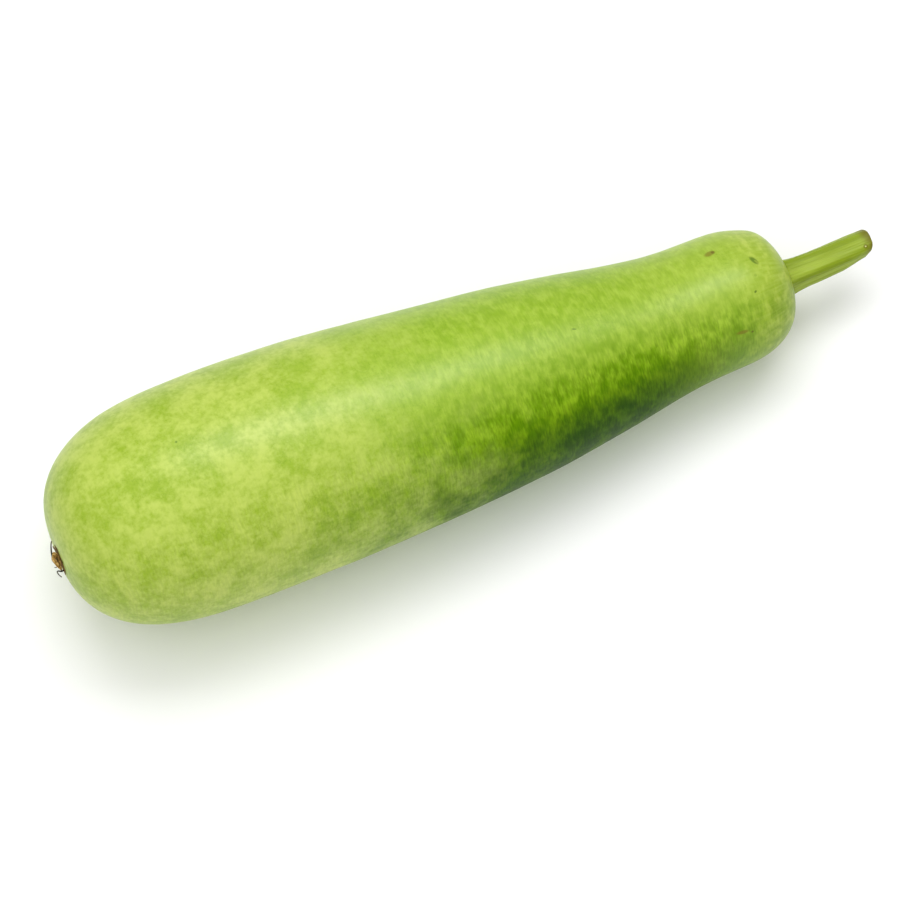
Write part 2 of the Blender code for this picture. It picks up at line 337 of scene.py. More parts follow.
def ramp(tree, value, low, high, bottom=0.0, top=1.0):
    """Soft step of a value from low to high."""
    return node(tree, "MapRange", {"Value": value, "From Min": low, "From Max": high,
                                   "To Min": bottom, "To Max": top},
                interpolation_type="SMOOTHSTEP").outputs["Result"]


def blend(tree, amount, first, second, kind="MIX"):
    """Mix of two colours, each a colour or a socket."""
    made = node(tree, "Mix", {"Factor": amount}, data_type="RGBA", blend_type=kind)
    for slot, value in ((6, first), (7, second)):
        if isinstance(value, bpy.types.NodeSocket):
            tree.links.new(value, made.inputs[slot])
        else:
            made.inputs[slot].default_value = (*value, 1)
    return made.outputs[2]


def maths(tree, operation, first, second=0.0):
    return node(tree, "Math", {0: first, 1: second}, operation=operation).outputs[0]


def product(tree, first, second):
    return maths(tree, "MULTIPLY", first, second)


def weighted(tree, *parts):
    """Sum of values, each with its weight."""
    total = 0.0
    for value, weight in parts:
        total = node(tree, "Math", {0: value, 1: weight, 2: total}, operation="MULTIPLY_ADD").outputs[0]
    return total


def grey(tree, value):
    return node(tree, "CombineColor", {"Red": value, "Green": value, "Blue": value}).outputs["Color"]


def bump(tree, height, strength, depth, **below):
    """Relief too fine to model, on top of the relief below it."""
    inputs = {"Height": height, "Strength": strength, "Distance": depth, **below}
    return node(tree, "Bump", inputs).outputs["Normal"]


def gourd_coordinates(tree):
    """Object coordinates in the gourd's frame: x along it from the blossom end, z up, in metres."""
    place = {"Vector": node(tree, "TexCoord").outputs["Object"],
             "Location": AXIS.translation, "Rotation": (0, AXIS_DROP, 0)}
    return node(tree, "Mapping", place, vector_type="TEXTURE").outputs["Vector"]


def grain(tree, coordinates, along, around, detail=2.0, roughness=0.5, distortion=0.0):
    """Noise whose cells are this long along the gourd and this wide round it."""
    scaled = node(tree, "Mapping", {"Vector": coordinates, "Scale": (1 / along, 1 / around, 1 / around)})
    return node(tree, "TexNoise", {"Vector": scaled.outputs["Vector"], "Scale": 1.0, "Detail": detail,
                                   "Roughness": roughness, "Distortion": distortion}).outputs["Fac"]


# Skin

# How far red, green and blue light go into living green tissue, as shares of a material's scale.
GREEN_SCATTER = (0.7, 1.0, 0.25)
# The side that faced the sun, which also carries painted shade on the low front, in degrees from the top
# towards the front.
SUN_AND_SHADE_SIDE = 85
# From where to where along the fruit each change of colour goes, in metres. The first two are read on a
# ragged measure that runs about 55 mm ahead.
NECK_START = (0.125, 0.232)
DARK_START = (0.130, 0.255)
DARK_END = (0.228, 0.288)
KNOB_START = (0.222, 0.262)
STREAKS_START = (0.268, 0.290)
FIBRES_START = (0.09, 0.2)
FIBRES_END = (0.25, 0.285)

# A mark's place along the fruit in millimetres and round it in degrees from the top towards the front, its
# length along the fruit and width round it in millimetres, its turn in degrees, its colour and strength.
SKIN_MARKS = (
    (270.0, -26.2, 4.6, 2.8, 10, "#77681A", 0.7),
    (271.4, -26.4, 1.6, 1.8, 0, "#5E4A10", 0.6),
    (284.1, -5.2, 4.4, 2.2, 118, "#42660A", 0.75),
    (284.7, -3.6, 2.0, 0.9, 118, "#97A838", 0.7),
    (281.9, 8.3, 1.5, 1.2, 0, "#84A02C", 0.6),
    (279.3, 21.3, 1.3, 0.9, 30, "#3C5E0A", 0.75),
    (269.8, 49.9, 5.4, 1.6, -8, "#7A6C1C", 0.7),
    (273.7, 52.9, 1.2, 1.0, 0, "#564A12", 0.7),
    (206.7, 1.0, 2.0, 0.6, -20, "#44680F", 0.7),
    (51.7, -13.3, 1.0, 1.0, 0, "#4A720F", 0.6),
)


def small_mark(tree, coordinates, colour_in, mark, radius):
    """A small soft-edged mark at this distance from the axis."""
    along, around_deg, length, width, turn_deg, hex_colour, strength = mark
    around = math.radians(around_deg)
    centre = (along * MM, -radius * math.sin(around), radius * math.cos(around))
    local = node(tree, "Mapping", {"Vector": coordinates, "Location": centre, "Rotation": (around, 0, 0)},
                 vector_type="TEXTURE").outputs["Vector"]
    turned = node(tree, "Mapping", {"Vector": local, "Rotation": (0, 0, math.radians(turn_deg)),
                                    "Scale": (length * MM / 2, width * MM / 2, 4 * MM)},
                  vector_type="TEXTURE").outputs["Vector"]
    distance = node(tree, "VectorMath", {0: turned}, operation="LENGTH").outputs["Value"]
    inside = ramp(tree, distance, 0.55, 1.25, strength, 0.0)
    return blend(tree, inside, colour_in, linear(hex_colour))


def skin_radius(along, around):
    """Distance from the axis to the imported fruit's surface at this place."""
    centre = Vector((0, 0, along))
    way = Vector((-math.cos(around), -math.sin(around), 0))
    return (on_fruit(centre, way) - centre).length


def around_way(degrees):
    """Direction out of the axis at this many degrees from the top towards the front."""
    return 0, -math.sin(math.radians(degrees)), math.cos(math.radians(degrees))


def neck_colour(tree, settings, facing, shade, knob, drift):
    """Pale flecks on deep green, both darker towards the sun side with its own deeper green and painted
    shade, and clearer at the knob.
    """
    # Darker towards the low front side: partly the sun side's own deeper green, partly painted shade; the
    # shade mask adds the deepest painted shade.
    deep = blend(tree, ramp(tree, facing, 0.2, 0.8), settings.neck_deep, settings.sun_and_shade_deep)
    deep = blend(tree, shade, deep, settings.sun_and_shade_darkest)
    deep = blend(tree, product(tree, knob, 0.4), deep, settings.neck_deep)
    pale = blend(tree, ramp(tree, facing, 0.2, 0.95), settings.neck_pale, settings.sun_and_shade_pale)
    pale = blend(tree, product(tree, knob, 0.6), pale, settings.neck_pale)
    dusky = blend(tree, 0.7, settings.sun_and_shade_deep, settings.sun_and_shade_darkest)
    pale = blend(tree, product(tree, shade, 0.92), pale, dusky)
    return blend(tree, ramp(tree, drift, 0.36, 0.68), deep, pale)


def skin_material(settings):
    """Living cucurbit skin: thin, smooth and waxy, satin and not glossy, mottled in two greens, with the
    light going a little way in."""
    made, tree, shader = new_material("gourd_skin_waxy")
    place = gourd_coordinates(tree)
    along = node(tree, "SeparateXYZ", {"Vector": place}).outputs["X"]
    across = node(tree, "VectorMath", {0: place, 1: (0, 1, 1)}, operation="MULTIPLY").outputs[0]
    outward = node(tree, "VectorMath", {0: across}, operation="NORMALIZE").outputs[0]
    facing = node(tree, "VectorMath", {0: outward, 1: around_way(SUN_AND_SHADE_SIDE)},
                  operation="DOT_PRODUCT").outputs["Value"]
    # How far a place faces the low front side: the sun side, which also carries painted shade.
    sunward_and_shaded = ramp(tree, facing, 0.35, 0.75)

    blotch, spot, fibre = settings.blotch_size, settings.speck_size, settings.fibre_size
    cloud = grain(tree, place, blotch, blotch, detail=2.0)
    puff = grain(tree, place, 0.35 * blotch, 0.4 * blotch, detail=1.0)
    speck = grain(tree, place, spot, spot, detail=3.0, roughness=0.6)
    fleck = grain(tree, place, settings.fleck_size, 1.5 * settings.fleck_size, detail=1.5)
    patch = grain(tree, place, settings.patch_size, 1.5 * settings.patch_size, detail=1.0)
    hatch = grain(tree, place, fibre, 5.0 * fibre, detail=2.0, roughness=0.6)

    # The pale half is cloudy. The neck half drifts between flecks, with more contrast on the sun side, which
    # is also darkened with painted shade.
    mottle = weighted(tree, (cloud, 0.4), (puff, 0.26), (speck, 0.34))
    blossom = blend(tree, ramp(tree, mottle, 0.37, 0.65), settings.blossom_pale, settings.blossom_deep)
    drift = weighted(tree, (fleck, 0.48), (hatch, 0.14), (puff, 0.24), (patch, 0.14))
    patchy = product(tree, maths(tree, "SUBTRACT", patch, 0.5), sunward_and_shaded)
    drift = weighted(tree, (drift, 1.0), (patchy, 0.4))

    ragged = weighted(tree, (along, 1.0), (cloud, 0.09), (speck, 0.02))
    # Painted shade: a mask that darkens the low front side of the neck half, fading towards both ends.
    reach = product(tree, ramp(tree, ragged, *DARK_START), ramp(tree, along, *DARK_END, 1.0, 0.0))
    shade = product(tree, ramp(tree, facing, 0.71, 0.975), reach)
    knob = ramp(tree, along, *KNOB_START)
    neck = neck_colour(tree, settings, facing, shade, knob, drift)
    crown = product(tree, knob, maths(tree, "SUBTRACT", 0.14, product(tree, sunward_and_shaded, 0.14)))
    neck = blend(tree, crown, neck, settings.shoulder_pale)
    base = blend(tree, ramp(tree, ragged, *NECK_START), blossom, neck)

    shoulder = ramp(tree, along, *STREAKS_START)
    streak = shoulder_streaks(tree, along, across, outward)
    streaked = blend(tree, ramp(tree, streak, 0.3, 0.7), settings.shoulder_deep, settings.shoulder_pale)
    base = blend(tree, product(tree, shoulder, 0.3), base, streaked)
    clear = product(tree, shoulder, ramp(tree, fleck, 0.46, 0.76, 0.0, 0.4))
    base = blend(tree, clear, base, settings.shoulder_pale)

    # Fine veins, the fibres that run round the fruit, and single dots and marks.
    vein = grain(tree, place, 1.9 * MM, 1.9 * MM, detail=2.0, distortion=0.6)
    line = ramp(tree, maths(tree, "ABSOLUTE", maths(tree, "SUBTRACT", vein, 0.5)), 0.0, 0.035, 0.22, 0.0)
    base = blend(tree, product(tree, line, ramp(tree, mottle, 0.4, 0.6)), base, settings.sun_and_shade_deep)
    fine = product(tree, ramp(tree, along, *FIBRES_START, 0.45, 1.0),
                   ramp(tree, sunward_and_shaded, 0.0, 1.0, 0.12, 0.42))
    fine = product(tree, fine, ramp(tree, along, *FIBRES_END, 1.0, 0.3))
    base = blend(tree, fine, base, grey(tree, ramp(tree, hatch, 0.3, 0.7, 0.3, 0.7)), "OVERLAY")
    base = pin_dots(tree, place, base, settings.sun_and_shade_darkest)
    for mark in SKIN_MARKS:
        base = small_mark(tree, place, base, mark, skin_radius(mark[0] * MM, math.radians(mark[1])))

    gloss, wax = settings.roughness, settings.wax
    pores = grain(tree, place, 1.6 * MM, 1.6 * MM, detail=3.0)
    normal = bump(tree, pores, 0.3, 0.08 * MM, Normal=bump(tree, hatch, 0.25, 0.05 * MM))
    feed(tree, shader, {
        "Base Color": base,
        "Roughness": ramp(tree, speck, 0.3, 0.7, gloss - 0.03, gloss + 0.05),
        "Specular IOR Level": 0.05,
        "Coat Weight": ramp(tree, product(tree, sunward_and_shaded, reach), 0.0, 0.8, wax, 0.05 * wax),
        "Coat Roughness": gloss,
        "Coat Normal": normal,
        "Subsurface Weight": 0.12,
        "Subsurface Radius": GREEN_SCATTER,
        "Subsurface Scale": 2.5 * MM,
        "Normal": normal,
    })
    return made


def shoulder_streaks(tree, along, across, outward):
    """Fine streaks that run over the shoulder and close in on the stalk."""
    off_axis = node(tree, "VectorMath", {0: across}, operation="LENGTH").outputs["Value"]
    down = maths(tree, "DIVIDE", maths(tree, "SUBTRACT", along, off_axis), 9 * MM)
    spread = node(tree, "VectorMath", {0: outward, "Scale": 22.0}, operation="SCALE").outputs[0]
    shift = node(tree, "CombineXYZ", {"X": down}).outputs[0]
    place = node(tree, "VectorMath", {0: spread, 1: shift}, operation="ADD").outputs[0]
    return node(tree, "TexNoise", {"Vector": place, "Scale": 1.0, "Detail": 3.0, "Roughness": 0.55,
                                   "Distortion": 0.2}).outputs["Fac"]


def pin_dots(tree, place, colour_in, dark):
    """Scattered pinprick dots, most of them too faint to see."""
    cell = node(tree, "TexVoronoi", {"Vector": place, "Scale": 1 / (13 * MM)})
    dot = ramp(tree, cell.outputs["Distance"], 0.016, 0.034, 1.0, 0.0)
    chance = node(tree, "SeparateColor", {"Color": cell.outputs["Color"]}).outputs["Red"]
    amount = product(tree, dot, ramp(tree, chance, 0.55, 1.0, 0.0, 0.7))
    return blend(tree, amount, colour_in, dark)


SHOULDER_PLACE = 293 * MM
SHOULDER_REACH = 4.5 * MM
SHOULDER_SWELL = 1.0 * MM


def squarer_shoulder(place):
    """The shoulder stands out a little more on the side of the fruit's bow."""
    own = TO_GOURD @ place
    outward = Vector((own.x, own.y, 0))
    if outward.length < MM:
        return place
    near = math.exp(-((own.z - SHOULDER_PLACE) / SHOULDER_REACH) ** 2)
    side = max(0, outward.normalized().dot(BOW_WAY))
    swell = (outward.normalized() * 0.7 + Vector((0, 0, 0.7))) * SHOULDER_SWELL * near * side
    return AXIS @ (own + swell)


class GOURD_OT_skin(Operator):
    """Make the fruit's skin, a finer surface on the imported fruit"""

    bl_idname = "gourd.skin"
    bl_label = "Fruit skin"

    def execute(self, context):
        settings = context.scene.gourd_skin
        skin = bpy.data.objects.new("fruit_skin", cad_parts["fruit"].data.copy())
        context.collection.objects.link(skin)
        edit(skin)
        bpy.ops.mesh.remove_doubles(threshold=WELD)
        bpy.ops.mesh.customdata_custom_splitnormals_clear()
        bpy.ops.mesh.tris_convert_to_quads(face_threshold=math.radians(50), shape_threshold=math.radians(70))
        leave_edit()
        subdivide(skin, 2)
        dents(skin, "dents", settings.dent_size, settings.dent_depth)
        dents(skin, "ripples", settings.dent_size / 4, settings.dent_depth / 6)
        apply_modifiers(skin)
        reshape(skin, squarer_shoulder)
        keep_in_box(skin, "fruit")
        hand_over(skin, skin_material(settings), "gourd_skin", "fruit")
        return {"FINISHED"}


# Stalk

STALK_LENGTH = STALK_END - FRUIT_LENGTH
STALK_SIDES = 120
STALK_RINGS = 22
STALK_ROOT = 3.0 * MM
STALK_TWIST = math.radians(14)
STALK_CURVE = 1.2 * MM
STALK_DENTS = (7 * MM, 0.25 * MM)
CUT_ROUNDING = 0.8 * MM
CUT_CORNER = 2.6 * MM
# Share of the stalk's length below which the cut doesn't bend it.
CUT_REACH = 0.6
CALLUS_RADIUS = 0.5 * MM
# A drop of dried sap beside the cut, in the same terms as the skin's marks: a dark ring, and a pale centre
# that is a painted glint on the drop.
STALK_MARKS = (
    (333.2, 19.4, 2.0, 1.8, 0, "#66600F", 0.75),
    (333.2, 19.4, 0.7, 0.6, 0, "#D6DA92", 0.9),
)
PITH_RADIUS = 1.4 * MM
PITH_DEPTH = 1.6 * MM


def stalk_radius(settings, height):
    """Radius at this height over the fruit's end: a slow taper and a flared foot."""
    spread = settings.flare * math.exp(-max(0, height) / settings.flare_reach)
    return settings.radius + settings.taper * (1 - height / STALK_LENGTH) + spread


def stalk_growth(settings, point):
    """Ribs with fine ridges between them, a slight twist and curve, and a cut that slopes off at a side."""
    height = point.z - FRUIT_LENGTH
    climb = min(1, max(0, height / STALK_LENGTH))
    angle = math.atan2(point.y, point.x)
    off_axis = math.hypot(point.x, point.y)
    outer = min(1, off_axis / stalk_radius(settings, height)) ** 2
    turned = angle - STALK_TWIST * climb
    ribs = settings.rib_share * math.cos(settings.ribs * turned)
    uneven = 3 * math.sin(2 * turned)
    fibres = settings.fibre_height / settings.radius * math.cos(settings.fibres * turned + uneven)
    near_cut = max(0, (climb - CUT_REACH) / (1 - CUT_REACH))
    near_cut *= near_cut * (3 - 2 * near_cut)
    grown = 1 + outer * (ribs + fibres) * (1 - 0.5 * near_cut)
    moved = Vector((point.x * grown, point.y * grown, point.z)) + BOW_WAY * STALK_CURVE * climb**2
    below = -point.dot(BOW_WAY) / stalk_radius(settings, height)
    fall = CUT_CORNER * near_cut * max(0, below) ** 2
    return moved + BOW_WAY * 0.25 * fall - Vector((0, 0, fall))


def stalk_material(settings):
    """Fresh stalk: stringy green tissue with pale ribs and darker grooves, satin, dried brown at the cut."""
    made, tree, shader = new_material("gourd_stalk_fibrous")
    place = gourd_coordinates(tree)
    parts = node(tree, "SeparateXYZ", {"Vector": place}).outputs
    along = parts["X"]
    angle = maths(tree, "ARCTAN2", parts["Z"], parts["Y"])
    twisted = maths(tree, "ADD", angle, product(tree, along, STALK_TWIST / STALK_LENGTH))
    wave = maths(tree, "COSINE", product(tree, twisted, float(settings.ribs)))
    strings = grain(tree, place, 30 * MM, 1.3 * MM, detail=2.0)
    height = maths(tree, "ADD", product(tree, wave, 0.16), strings)
    base = blend(tree, ramp(tree, height, 0.2, 0.8), settings.groove, settings.ridge)
    cloud = grain(tree, place, 5 * MM, 2.5 * MM, detail=3.0)
    ragged = maths(tree, "ADD", along, product(tree, cloud, 5 * MM))
    dried = ramp(tree, ragged, STALK_END - 3.0 * MM, STALK_END + 2.5 * MM, 0.0, 0.9)
    base = blend(tree, dried, base, settings.cut)
    for mark in STALK_MARKS:
        base = small_mark(tree, place, base, mark, settings.radius)
    feed(tree, shader, {
        "Base Color": base,
        "Roughness": ramp(tree, cloud, 0.3, 0.7, 0.42, 0.6),
        "Specular IOR Level": 0.2,
        "Subsurface Weight": 0.1,
        "Subsurface Radius": GREEN_SCATTER,
        "Subsurface Scale": 1.5 * MM,
        "Normal": bump(tree, strings, 0.4, 0.1 * MM),
    })
    return made


def callus_material(settings):
    """Callus: the pale corky rim where fruit and stalk grew together, dull and slightly rough."""
    made, tree, shader = new_material("callus_pale")
    place = gourd_coordinates(tree)
    crumb = grain(tree, place, 0.8 * MM, 2.4 * MM, detail=3.0)
    base = blend(tree, ramp(tree, crumb, 0.3, 0.8), settings.callus, settings.ridge)
    feed(tree, shader, {"Base Color": base, "Roughness": 0.65, "Normal": bump(tree, crumb, 0.5, 0.1 * MM)})
    return made


class GOURD_OT_stalk(Operator):
    """Make the cut stalk with its ribs and the callus at its foot"""

    bl_idname = "gourd.stalk"
    bl_label = "Stalk"

    def execute(self, context):
        settings = context.scene.gourd_stalk
        foot = FRUIT_LENGTH - STALK_ROOT
        bpy.ops.object.select_all(action="DESELECT")
        bpy.ops.mesh.primitive_circle_add(vertices=STALK_SIDES, radius=stalk_radius(settings, 0),
                                          location=(0, 0, foot), fill_type="NGON")
        stalk = added("stalk")
        bpy.ops.object.transform_apply(location=True)
        edit(stalk)
        radius, place = stalk_radius(settings, 0), foot
        rings = [(STALK_LENGTH - CUT_ROUNDING) * (i / STALK_RINGS) ** 1.4 for i in range(STALK_RINGS + 1)]
        steps = [(FRUIT_LENGTH + h, stalk_radius(settings, h)) for h in rings]
        rim = stalk_radius(settings, STALK_LENGTH)
        for turn in (30, 60, 90):
            round_off = math.radians(turn)
            steps.append((STALK_END - CUT_ROUNDING * (1 - math.sin(round_off)),
                          rim - CUT_ROUNDING * (1 - math.cos(round_off))))
        for part in (0.8, 0.6, 0.4):
            steps.append((STALK_END, rim * part))
        steps += [(STALK_END, PITH_RADIUS), (STALK_END - PITH_DEPTH, 0.8 * PITH_RADIUS)]
        for new_place, new_radius in steps:
            bpy.ops.mesh.extrude_region_move(TRANSFORM_OT_translate={"value": (0, 0, new_place - place)})
            scale = new_radius / radius
            bpy.ops.transform.resize(value=(scale, scale, 1), center_override=(0, 0, new_place))
            radius, place = new_radius, new_place
        leave_edit()
        reshape(stalk, lambda co: stalk_growth(settings, co))
        subdivide(stalk, 1)
        dents(stalk, "stalk_dents", *STALK_DENTS)
        lay_on_axis(stalk)
        apply_modifiers(stalk)
        keep_in_box(stalk, "stem")
        hand_over(stalk, stalk_material(settings), "gourd_stem", "stem")
        self.callus(settings)
        return {"FINISHED"}

    def callus(self, settings):
        """The pale ring at the foot follows the ribs and lies on the skin."""
        finished = surface_of(bpy.data.objects["fruit_skin"])
        bpy.ops.mesh.primitive_torus_add(major_radius=stalk_radius(settings, 0), minor_radius=CALLUS_RADIUS,
                                         major_segments=STALK_SIDES, minor_segments=10)
        ring = added("stalk_callus")

        def follow(co):
            angle = math.atan2(co.y, co.x)
            ribbed = 1 + settings.rib_share * math.cos(settings.ribs * angle)
            swell = 1 + 0.25 * math.sin(4 * angle) * math.sin(3 * angle + 1)
            middle = Vector((math.cos(angle), math.sin(angle), 0)) * stalk_radius(settings, 0)
            over = (co - middle) * swell
            centre = middle * (ribbed + 0.04)
            skin = on_fruit(Vector((centre.x, centre.y, STALK_END)), Vector((0, 0, -1)), finished)
            return Vector((centre.x + over.x, centre.y + over.y, skin.z + over.z * 0.8))

        reshape(ring, follow)
        lay_on_axis(ring)
        hand_over(ring, callus_material(settings), "gourd_stem")


# Withered flower

FLOWER_SEED = 4
SCAR_SIZE = (5.4 * MM, 4.4 * MM)
SCAR_THICKNESS = 0.4 * MM
SCAR_LIFT = 0.08 * MM
SCAR_WRINKLE = 0.07 * MM
BULB_SIZE = (3.2 * MM, 2.1 * MM, 1.3 * MM)
BULB_PLACE = (0.2 * MM, 0.1 * MM, -0.68 * MM)
BULB_SAG = 0.55 * MM
LOBE_ROOT = 1.2 * MM
LOBE_THICKNESS = 0.16 * MM
LOBE_LIFT = 0.24 * MM
LOBE_CURL = 0.25 * MM
LOBE_WAVE = 0.08 * MM
LOBE_CRINKLE = 0.07 * MM

# Threads that dried where they hung: points along each, in millimetres towards the bow, towards the
# front and along the axis, and the thread's radius.
DRY_THREADS = (
    ("frame", 0.34, ((1.6, 0.2, -1.5), (2.6, 0.4, -1.62), (4.0, 0.4, -1.25), (5.4, 0.2, -0.8),
                     (6.9, 0.0, -0.2), (7.4, 0, 0.3))),
    ("hook", 0.32, ((-4.2, 0.2, 0.6), (-4.5, 0.3, -0.2), (-4.2, 0.3, -0.9), (-3.5, 0.3, -1.6),
                    (-3.9, 0.4, -2.2), (-5.2, 0.4, -1.85), (-6.4, 0.5, -1.1))),
    ("short", 0.21, ((-1.9, 0.2, -0.8), (-2.3, 0.2, -1.4), (-2.45, 0.1, -1.9), (-2.0, 0.0, -2.3))),
    ("front", 0.2, ((0.4, 1.6, -0.6), (1.2, 2.9, -1.1), (1.0, 4.2, -0.9), (0.2, 5.2, -0.5),
                    (-0.6, 5.6, -0.9))),
    ("back", 0.2, ((-0.8, -1.4, -0.6), (-0.4, -3.0, -1.2), (0.9, -4.3, -0.9), (1.9, -4.6, -0.3))),
)


def on_skin(finished, towards_bow, towards_front, height):
    """Place at this height over the finished skin of the blossom end, in the gourd's own frame."""
    beside = BOW_WAY * towards_bow + FRONT_WAY * towards_front
    below = beside - Vector((0, 0, 20 * MM))
    return on_fruit(below, Vector((0, 0, 1)), finished) - Vector((0, 0, height))


def dry_material(name, dark, light, low, high):
    """Dry plant tissue: papery and dull, streaked lengthwise, light on the swells and nearly black at edges
    and folds."""
    made, tree, shader = new_material(name)
    place = gourd_coordinates(tree)
    bow = AXIS.to_3x3() @ BOW_WAY
    level = node(tree, "Mapping", {"Vector": place, "Rotation": (-math.atan2(bow.z, bow.y), 0, 0)})
    thin = node(tree, "Mapping", {"Vector": level.outputs["Vector"], "Scale": (1, 0.25, 1)})
    crumple = grain(tree, place, 0.5 * MM, 0.9 * MM, detail=4.0, roughness=0.65)
    streak = grain(tree, thin.outputs["Vector"], 0.5 * MM, 0.5 * MM, detail=3.0)
    fold = grain(tree, place, 1.8 * MM, 1.8 * MM, detail=2.0)
    swell = weighted(tree, (crumple, 0.25), (streak, 0.45), (fold, 0.3))
    relief = weighted(tree, (crumple, 0.5), (streak, 0.5))
    feed(tree, shader, {
        "Base Color": blend(tree, ramp(tree, swell, low, high), dark, light),
        "Roughness": ramp(tree, crumple, 0.3, 0.7, 0.55, 0.85),
        "Specular IOR Level": 0.2,
        "Normal": bump(tree, relief, 0.8, 0.2 * MM),
    })
    return made


class GOURD_OT_flower(Operator):
    """Make the withered flower on the blossom end"""

    bl_idname = "gourd.flower"
    bl_label = "Withered flower"

    def execute(self, context):
        settings = context.scene.gourd_flower
        draw = random.Random(FLOWER_SEED)
        tan = dry_material("dried_petal_papery", settings.fold, settings.papery, 0.44, 0.56)
        brown = dry_material("dried_scar_leathery", settings.dark, settings.fold, 0.34, 0.56)
        wiry = dry_material("dried_thread_wiry", settings.darkest, settings.dark, 0.4, 0.6)
        finished = surface_of(bpy.data.objects["fruit_skin"])
        hand_over(self.scar(finished), brown, "dried_flower", "dried_flower")
        hand_over(self.bulb(), tan, "dried_flower")
        lobes = [self.lobe(settings, finished, i, draw) for i in range(settings.lobes)]
        hand_over(joined("flower_lobes", lobes), brown, "dried_flower")
        threads = [self.thread(settings, *thread) for thread in DRY_THREADS]
        hand_over(joined("flower_threads", threads), wiry, "dried_flower")
        return {"FINISHED"}

    def scar(self, finished):
        """The leathery scar: a thin, wrinkled plate with a ragged edge that lies on the skin."""
        bpy.ops.object.select_all(action="DESELECT")
        bpy.ops.mesh.primitive_uv_sphere_add(segments=64, ring_count=24, radius=1)
        scar = added("flower_scar")
        long, short = SCAR_SIZE

        def leathery(co):
            angle = math.atan2(co.y, co.x)
            ragged = 1 + 0.06 * math.cos(7 * angle + 1) + 0.04 * math.cos(17 * angle)
            off_centre = math.hypot(co.x, co.y)
            wrinkle = SCAR_WRINKLE * math.cos(19 * angle) * off_centre
            return on_skin(finished, co.x * long * ragged, co.y * short * ragged,
                           SCAR_LIFT + co.z * SCAR_THICKNESS / 2 * (1 + 0.5 * off_centre) + wrinkle)

        reshape(scar, leathery)
        lay_on_axis(scar)
        return scar

    def bulb(self):
        """The shrivelled flower: a creased bulb that tapers to a tail."""
        bpy.ops.object.select_all(action="DESELECT")
        bpy.ops.mesh.primitive_uv_sphere_add(segments=64, ring_count=40, radius=1,
                                             rotation=(0, math.radians(90), 0))
        bulb = added("flower_bulb")
        bpy.ops.object.transform_apply(rotation=True)
        length, width, height = BULB_SIZE
        up, front, out = BULB_PLACE

        def shrivelled(co):
            angle = math.atan2(co.z, co.y)
            taper = 1 + 0.3 * co.x - 0.4 * co.x * co.x
            crease = 1 + 0.16 * math.cos(6 * angle + 2.0 * co.x) + 0.07 * math.cos(13 * angle - 4 * co.x)
            along = length * (co.x if co.x > 0 else 1.45 * co.x)
            sag = BULB_SAG * max(0, -co.x) ** 1.5
            beside = BOW_WAY * (up + along) + FRONT_WAY * (front + co.y * width * taper * crease)
            return beside + Vector((0, 0, out - co.z * height * taper * crease + sag))

        reshape(bulb, shrivelled)
        lay_on_axis(bulb)
        return bulb

    def lobe(self, settings, finished, number, draw):
        """A dry lobe: a thin, crinkled, pointed strip that lies out over the skin, with a curling tip."""
        bpy.ops.object.select_all(action="DESELECT")
        bpy.ops.mesh.primitive_grid_add(x_subdivisions=28, y_subdivisions=12, size=1)
        lobe = added(f"flower_lobe_{number}")
        length = settings.lobe_length * draw.uniform(0.85, 1.12)
        curl = LOBE_CURL * draw.uniform(0.2, 1.6)
        phase = draw.uniform(0, math.tau)
        heading = math.tau * (number + draw.uniform(-0.12, 0.12)) / settings.lobes + math.pi

        def withered(co):
            along, side = co.x + 0.5, co.y * 2
            width = settings.lobe_width * (0.55 + 0.9 * along * (1 - along)) * (1 - 0.65 * along**3) / 2
            crinkle = LOBE_CRINKLE * math.sin(7 * side + 9 * along + phase) * (0.3 + along)
            ragged = 1 + 0.14 * math.sin(23 * along + phase) * abs(side)
            lift = LOBE_LIFT + curl * along**3 + LOBE_WAVE * math.sin(5 * along + phase) + crinkle
            flat = Matrix.Rotation(heading, 2) @ Vector((LOBE_ROOT + length * along, side * width * ragged))
            return on_skin(finished, flat.x, flat.y, lift)

        reshape(lobe, withered)
        lay_on_axis(lobe)
        modifier(lobe, "SOLIDIFY", thickness=LOBE_THICKNESS, offset=0)
        subdivide(lobe, 1)
        apply_modifiers(lobe)
        return lobe

    def thread(self, settings, name, radius, places):
        """A dry thread or narrow strip, thickest at its root."""
        bpy.ops.object.select_all(action="DESELECT")
        bpy.ops.curve.primitive_nurbs_path_add(radius=1)
        made = added(f"flower_thread_{name}")
        spline = made.data.splines[0]
        spline.points.add(max(0, len(places) - len(spline.points)))
        for i, point in enumerate(spline.points):
            towards_bow, towards_front, along = places[min(i, len(places) - 1)]
            beside = BOW_WAY * towards_bow + FRONT_WAY * towards_front
            point.co = (beside.x * MM, beside.y * MM, along * MM, 1)
            point.radius = 1 - 0.45 * i / (len(places) - 1)
        made.data.bevel_depth = radius * settings.thread_share * MM
        made.data.bevel_resolution = 3
        made.data.use_fill_caps = True
        select_only(made)
        bpy.ops.object.convert(target="MESH")
        lay_on_axis(made)
        return made


# Stage

# Where the camera and the lights aim, and where each soft light stands from there.
AIM = Vector((-13.7, -21.2, 36.0)) * MM
KEY_LIFT = math.radians(43)
KEY_DISTANCE = 1.3
KEY_SIZE = (1.2, 0.6)
STRIP_SIZE = (0.9, 0.3)
STRIP_SHIFT = 0.22
FILL_FORWARD = 0.30
FILL_LEFT = 0.25
FILL_DISTANCE = 1.35
FILL_SIZE = (1.6, 1.6)
TABLE_SIZE = 8
TABLE_WHITE = (0.97, 0.97, 0.97, 1)


